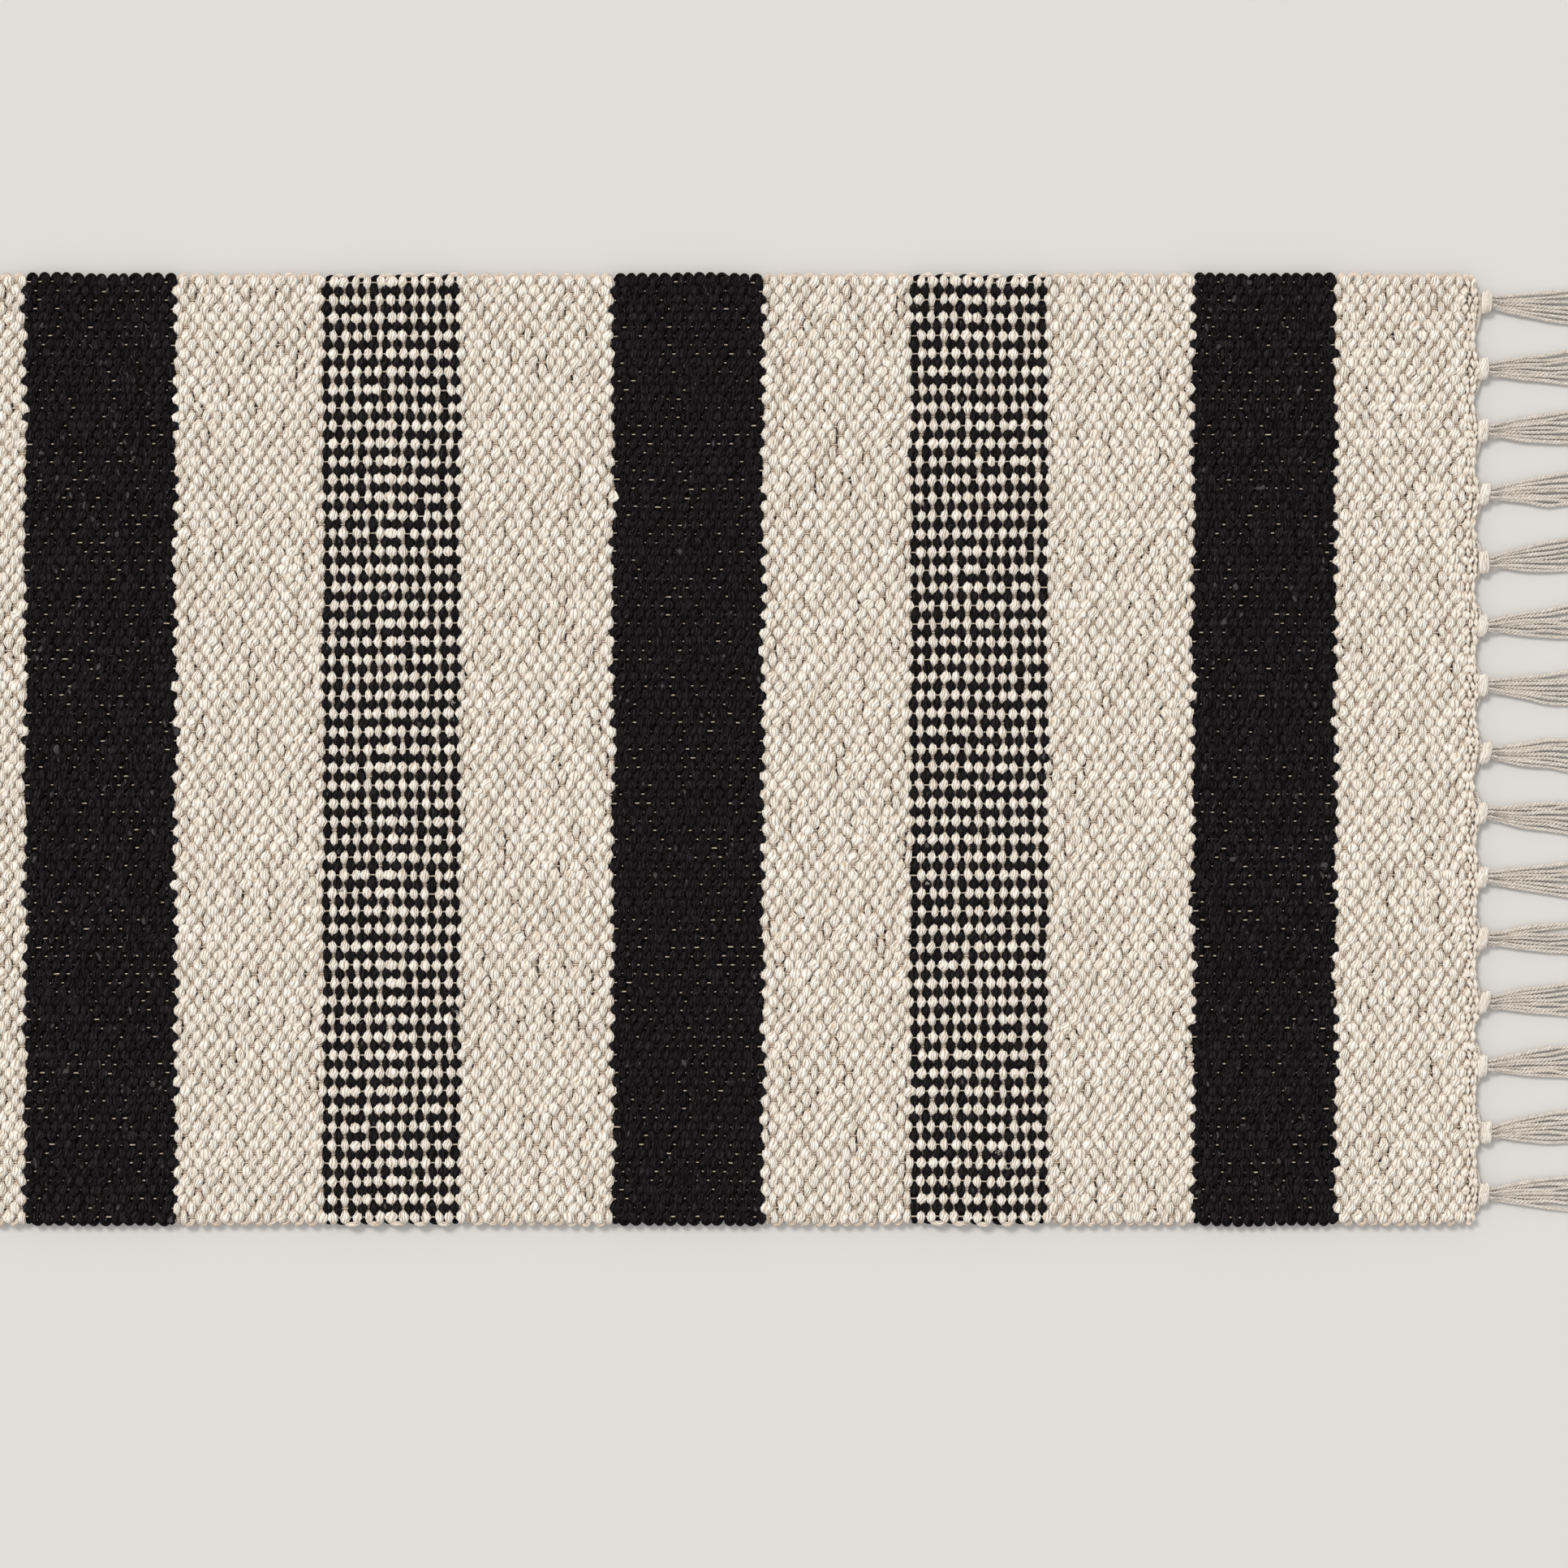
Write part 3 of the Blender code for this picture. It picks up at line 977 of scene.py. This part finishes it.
def twist_cord(bundle, knots, dice, size_at, opening_at, tone):
    """Two plies round a smooth line; size_at and opening_at scale them from its start to its end."""
    ply_turn = PLY_TURN * dice.uniform(*TWIST_RANGE)
    line, even = smooth_line(knots, PLY_TURN / PLY_RINGS_PER_TURN)
    ahead = np.gradient(line, axis=0)
    ahead /= np.linalg.norm(ahead, axis=1, keepdims=True)
    upward = np.array([0.0, 0.0, 1.0]) - ahead * ahead[:, 2:3]
    upward /= np.linalg.norm(upward, axis=1, keepdims=True)
    sideways = np.cross(ahead, upward)
    share = even / even[-1]
    places = np.linspace(0, 1, SLUBS)
    slubs = np.interp(share, places, dice.normal(1.0, SLUB_SPREAD, SLUBS))
    slack = np.interp(share, places, dice.normal(0.0, SLACK_SPREAD, SLUBS))
    size = size_at(share) * slubs * dice.uniform(*SIZE_RANGE)
    apart = PLY_RADIUS * PLY_APART * size * opening_at(share)
    turn = 2 * math.pi * even / ply_turn + dice.uniform(0, 2 * math.pi) + slack
    for half in (0.0, math.pi):
        out = sideways * np.cos(turn + half)[:, None] + upward * np.sin(turn + half)[:, None]
        ply = line + out * apart[:, None]
        ply[:, 2] = np.maximum(ply[:, 2], PLY_RADIUS * size)
        bundle.add(ply, PLY_RADIUS * size, PLY_RADIUS * size, PLY_SIDES, 0, half * PLY_START_SHIFT, tone)
    return line


cord_thick = 2 * PLY_RADIUS * (1 + PLY_APART)
print("a cord is", round(cord_thick * 1000, 2), "mm thick, one twist in", PLY_TURN * 1000, "mm")

# %% [markdown]
# ## The knot
# The seven cords are wrapped into one fat knot against the weave. The wraps lie side by
# side at a slant, so the knot is drawn as seven slanting oval loops of slack yarn round
# a hidden core. A smooth limit on how far out a loop may lie crowds them together at
# the sides, as they crowd when a knot is pulled tight.

# %% Wrap a knot
KNOT_LOOPS = 7
LOOP_RINGS = 26
LOOP_SPACING = 0.00120
LOOP_HALF_LONG = 0.0066
LOOP_HALF_TALL = 0.0033
LOOP_THICK = 0.00105
LOOP_SIDES = 8
LOOP_SLANT = 0.0020
SLANT_RANGE = (0.75, 1.25)
LOOP_TAPER = 0.012
LOOP_UNEVENNESS = 0.035
LOOP_JITTER = 0.00012
LOOP_START_SPREAD = 0.1
KNOT_TILT = (-0.12, 0.15)
KNOT_HALF_WIDE = 0.0029
DOME_WIDTH = 1.35
CORE_HALF_WIDE = 0.0030
CORE_HALF_TALL = 0.00306
CORE_RINGS = 11
CORE_SIDES = 12
CORE_END = 0.02


def wrap_knot(bundle, place, toward, dice):
    """Slanting loops side by side round the bundle, with a core that fills them."""
    turn = np.linspace(0, 2 * math.pi, LOOP_RINGS)
    tilt = dice.uniform(*KNOT_TILT)
    slant = LOOP_SLANT * dice.uniform(*SLANT_RANGE)
    for number in range(KNOT_LOOPS):
        from_middle = number - (KNOT_LOOPS - 1) / 2
        size = 1 - LOOP_TAPER * from_middle**2 + dice.uniform(-LOOP_UNEVENNESS, LOOP_UNEVENNESS)
        loose = from_middle * LOOP_SPACING + slant * np.cos(turn) + dice.normal(0, LOOP_JITTER)
        held = KNOT_HALF_WIDE * np.tanh(loose / KNOT_HALF_WIDE)
        dome = np.sqrt(1 - (held / (KNOT_HALF_WIDE * DOME_WIDTH)) ** 2)
        line = np.stack(
            [
                held + tilt * LOOP_HALF_LONG * np.cos(turn),
                LOOP_HALF_LONG * size * np.cos(turn),
                LOOP_HALF_TALL * size * dome * np.sin(turn),
            ],
            axis=-1,
        )
        line[:, 0] *= toward
        tone = dice.uniform(0, 1)
        bundle.add(
            place + line,
            LOOP_THICK,
            LOOP_THICK,
            LOOP_SIDES,
            finish=1,
            start=tone * LOOP_START_SPREAD,
            tone=tone,
            upright=(1, 0, 0),
        )
    share = np.linspace(-1, 1, CORE_RINGS)
    core = np.stack([toward * tilt * LOOP_HALF_LONG * share, share * LOOP_HALF_LONG, share * 0], axis=-1)
    rounded = np.sqrt(np.maximum(1 - share**4, CORE_END))
    half_wide = CORE_HALF_WIDE * rounded
    half_tall = CORE_HALF_TALL * rounded
    bundle.add(place + core, half_wide, half_tall, CORE_SIDES, finish=1, tone=0.5)


print("a knot has", KNOT_LOOPS, "wraps and is", round(2000 * (LOOP_HALF_LONG + LOOP_THICK), 1), "mm long")

# %% [markdown]
# ## What a loose cord does
# A cord is thinner where the knot nips it, and near its cut end its plies open. Short
# fibres stand off it all along, and where it was cut a few run on and droop. These
# small faults are what makes a fringe look soft, and each cord throws its own dice.

# %% Let a cord thin, open and shed
NIP_AT = 0.22
NIP_REACH = 0.12
NIP_DEPTH = 0.22
FRAY_FROM = 0.93
FRAY_OPENING = 0.55
FIBRE_RADIUS = 0.00011
FIBRE_SIDES = 3
FIBRES_ALONG = 9
CURL_ASIDE = 0.0009
CURL_LIFT = 0.0008
CURL_BEND = (0.8, 3.0)
CURL_REACH = (0.0005, 0.0016)
CURL_RISE = 0.25
FIBRES_PER_CORD = 6
FRAY_LENGTH = (0.003, 0.008)
FRAY_SWING = 0.0022
FRAY_ASIDE = 0.0008
FRAY_HEIGHT = (-0.001, 0.001)
FRAY_DROOP = 0.6


def cord_size(share):
    """Thinner where the knot nips the cord."""
    return 1 - NIP_DEPTH * np.exp(-(((share - NIP_AT) / NIP_REACH) ** 2))


def cord_opening(share):
    """Plies that come apart near the cut end."""
    return 1 + FRAY_OPENING * np.clip((share - FRAY_FROM) / (1 - FRAY_FROM), 0, 1) ** 1.5


def curl_beside(bundle, line, tone, dice):
    """One small loose fibre that curls off a cord beyond the knot."""
    start = line[dice.integers(len(line) // 5, len(line))] + (0, dice.normal(0, CURL_ASIDE), CURL_LIFT)
    bend = np.linspace(0, dice.uniform(*CURL_BEND), ARC_POINTS)
    reach = dice.uniform(*CURL_REACH)
    facing = dice.uniform(0, 2 * math.pi)
    curl = np.stack([np.cos(bend + facing), np.sin(bend + facing), CURL_RISE * np.sin(bend)], axis=-1)
    bundle.add(start + curl * reach, FIBRE_RADIUS, FIBRE_RADIUS, FIBRE_SIDES, tone=tone)


def fray_end(bundle, line, toward, tone, dice):
    """One loose fibre that runs on past the cut end of a cord and droops to the floor."""
    heading = np.array([toward * dice.uniform(*FRAY_LENGTH), dice.normal(0, FRAY_SWING), 0.0])
    side = np.array([0.0, dice.normal(0, FRAY_ASIDE), dice.uniform(*FRAY_HEIGHT)])
    share = np.linspace(-0.4, 1, 6)[:, None]
    strand = line[-1] + side + heading * share
    droop = 1 - FRAY_DROOP * np.clip(share[:, 0], 0, 1)
    strand[:, 2] = np.maximum(strand[:, 2] * droop, FIBRE_RADIUS)
    bundle.add(strand, FIBRE_RADIUS, FIBRE_RADIUS, FIBRE_SIDES, tone=tone)


print("each fringe cord has", FIBRES_ALONG + FIBRES_PER_CORD, "loose fibres")

# %% [markdown]
# ## Tassels
# Seven cords leave the weave, run along its edge to the knot, and fan out beyond it
# until they lie side by side on the floor. The cords start where their warps end, so
# the outer ones slant in steeply and draw the scalloped edge tight. Where the knot
# nips them they are thinner and lie in three tiers, one above another. Each tassel has
# its own dice, and leans the way its CAD solid leans.

# %% Tie a tassel onto each group of seven warps
EDGE_FROM_WEAVE = 0.0004 + SCALLOP * 0.3
EDGE_SPREAD_LEFT = 0.70
DRAWN_FROM_WEAVE = 0.0030
DRAWN_SPREAD_LEFT = 0.26
KNOT_FROM_WEAVE = 0.0062
KNOT_MIDDLE = 0.0043
KNOT_ROW_SHARE = 0.8
PINCH_FROM_WEAVE = 0.0118
PINCH_MIDDLE = 0.0040
PINCH_ROW = 0.0011
PINCH_SETBACK_SHARE = 0.7
CORD_REST = 0.0015
ROOT_INSET = 0.0035
ROOT_SAG = 0.0014
TIER_HEIGHT = 0.0015
TIERS = (0.0, 1.0, -1.0)
SKEW = (-0.0026, 0.0016)
SETBACK = (-0.0026, 0.0008)
FAN_SPREAD = 0.0113
FAN_STAGES = ((0.22, 0.0042, 1.0), (0.41, 0.0066, 0.7), (0.62, 0.0085, 0.25), (0.80, 0.0101, 0.0))
FAN_RISE = 0.0009
FAN_TIER_SHARE = 0.6
LANDING_SPREAD = 0.0012
WANDER_SPREAD = 0.0008
SHORTEST_CORD = 0.965
FIRST_DICE = 1082
LEFT_DICE_SHIFT = 100


def tie_tassel(node, toward, group, seed):
    """Cords, knot and loose fibres of one tassel, as one piece."""
    low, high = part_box(node)
    centre = (group - (len(tassel_names) - 1) / 2) * tassel_step
    lean = (low.y + high.y) / 2 - centre
    length = max(abs(low.x), abs(high.x)) - weave_end
    dice = np.random.default_rng(seed)
    bundle = YarnBundle()
    skew = dice.uniform(*SKEW)
    setback = dice.uniform(*SETBACK)

    def at(past_weave, aside, height):
        """A point of the tassel, from the weave's end, from its own middle and above the floor."""
        return (toward * (weave_end + past_weave), centre + aside, height)

    for cord in range(WARPS_PER_TASSEL):
        warp = group * WARPS_PER_TASSEL + cord
        warp_y = first_warp + warp * warp_step
        root = drifted(np.array([[toward * (weave_end - ROOT_INSET), warp_y, rug_middle]]))[0]
        offset = root[1] - centre
        rank = cord - (WARPS_PER_TASSEL - 1) / 2
        row = rank * PINCH_ROW
        tier = TIERS[cord % len(TIERS)] * TIER_HEIGHT
        landing = lean + rank / 3 * FAN_SPREAD + dice.normal(0, LANDING_SPREAD)
        wander = dice.normal(0, WANDER_SPREAD, 3)
        knots = [
            root,
            at(EDGE_FROM_WEAVE, offset * EDGE_SPREAD_LEFT, rug_middle - ROOT_SAG),
            at(DRAWN_FROM_WEAVE, offset * DRAWN_SPREAD_LEFT, KNOT_MIDDLE),
            at(KNOT_FROM_WEAVE + setback, row * KNOT_ROW_SHARE + skew, KNOT_MIDDLE),
            at(PINCH_FROM_WEAVE + setback * PINCH_SETBACK_SHARE, row + skew, PINCH_MIDDLE + tier),
        ]
        for share, spread, height in FAN_STAGES:
            straight = skew * (1 - share) + lean * share
            aside = straight + rank / 3 * spread + wander[len(knots) % 3] * share
            knots.append(at(share * length, aside, CORD_REST + (FAN_RISE + tier * FAN_TIER_SHARE) * height))
        knots.append(at(length * dice.uniform(SHORTEST_CORD, 1.0), landing, CORD_REST))
        tone = dice.uniform(0, 1)
        line = twist_cord(bundle, np.array(knots), dice, cord_size, cord_opening, tone)
        for _ in range(FIBRES_ALONG):
            curl_beside(bundle, line, tone, dice)
        for _ in range(FIBRES_PER_CORD):
            fray_end(bundle, line, toward, tone, dice)
    place = np.array(at(KNOT_FROM_WEAVE + setback, skew, KNOT_MIDDLE))
    wrap_knot(bundle, place, toward, dice)
    piece = bundle.make("tied_" + node, [fringe_cotton, knot_cotton])
    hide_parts(node)
    return piece


tassel_pieces = {"left": [], "right": []}
for side_name, toward in (("left", -1), ("right", 1)):
    for group in range(len(tassel_names)):
        node = f"tassel_{side_name}_{group + 1:02d}"
        seed = FIRST_DICE + group + (0 if toward > 0 else LEFT_DICE_SHIFT)
        tassel_pieces[side_name].append(tie_tassel(node, toward, group, seed))
print("tassels:", len(tassel_pieces["left"]), "at each end")

# %% [markdown]
# ## Letting it fold
# The CAD model has four hinges: each end folds over onto the middle, and each fringe
# tucks under its end. A piece that lies on one side of a hinge rides on that body. A
# piece that crosses one is blended: its points turn little by little from one body to
# the next, so the cloth rolls round the fold and doesn't crack. The bands beside a
# fold line and the warps cross it, and every tassel crosses the line at its root.

# %% Ride and blend every piece
FOLD_HALF = 0.0070
FRINGE_TURN_FROM = -0.0010
FRINGE_TURN_TO = 0.0025

joint_at = {joint["name"]: joint["pos_m"][0] for joint in frame["joints"]}
body_of_band = {
    node: body for body, nodes in frame["record"]["behaviour"]["bodies"].items() for node in nodes
}
for side_name, toward in (("left", -1), ("right", 1)):
    flap = side_name + "_flap"
    fringe = "fringe_" + side_name
    fold = joint_at["fold_" + side_name]
    outside = (fold + toward * FOLD_HALF, 0, 0)
    inside = (fold - toward * FOLD_HALF, 0, 0)
    crossing = [warps_left if toward < 0 else warps_right]
    for node, piece in band_pieces.items():
        low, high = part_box(node)
        if low.x < fold + FOLD_HALF and high.x > fold - FOLD_HALF:
            crossing.append(piece)
    for piece in crossing:
        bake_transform(piece, flap, "middle", start=outside, end=inside)
    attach(header_pieces["header_" + side_name], flap)
    turn_from = (toward * (weave_end + FRINGE_TURN_FROM), 0, 0)
    turn_to = (toward * (weave_end + FRINGE_TURN_TO), 0, 0)
    for piece in tassel_pieces[side_name]:
        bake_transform(piece, flap, fringe, start=turn_from, end=turn_to)
    print(flap, "blends", [piece.name for piece in crossing])
for node, piece in band_pieces.items():
    if "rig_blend" not in piece:
        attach(piece, body_of_band[node])

# %% [markdown]
# ## Saying what is cloth
# Each set of warps carries one half of the rug: its weft, its header and its tassels
# are the pieces that go with it.

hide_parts("warps_left", "warps_middle")
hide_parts("warps_right")
for warps, side_name, toward in ((warps_left, "left", -1), (warps_right, "right", 1)):
    for node, piece in band_pieces.items():
        low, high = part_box(node)
